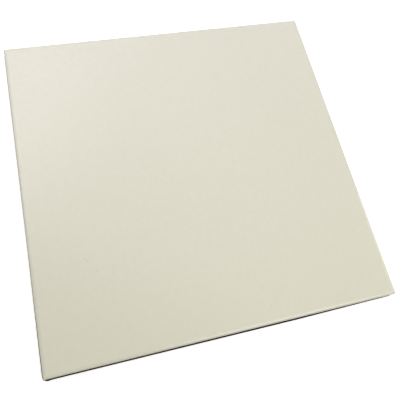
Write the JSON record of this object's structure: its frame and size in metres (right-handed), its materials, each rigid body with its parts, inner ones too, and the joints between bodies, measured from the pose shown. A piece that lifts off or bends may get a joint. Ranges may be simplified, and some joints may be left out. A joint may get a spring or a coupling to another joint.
{
  "type": "ceramic floor tile",
  "caption": "Square flat floor tile of glazed ceramic, with a rounded arris round its plain face and keying ribs on its back.",
  "frame": {"origin": "middle of the back, on the plane of the rib crests that the tile rests on", "axes": "+Z out of the glazed face, +X and +Y along the sides"},
  "size_m": [0.298, 0.298, 0.008],
  "materials": {
    "glazed_clay": "satin cream glaze on the face, bare fired clay on the sides and back"
  },
  "bodies": {
    "root": {"tile": "glazed_clay"}
  },
  "joints": []
}
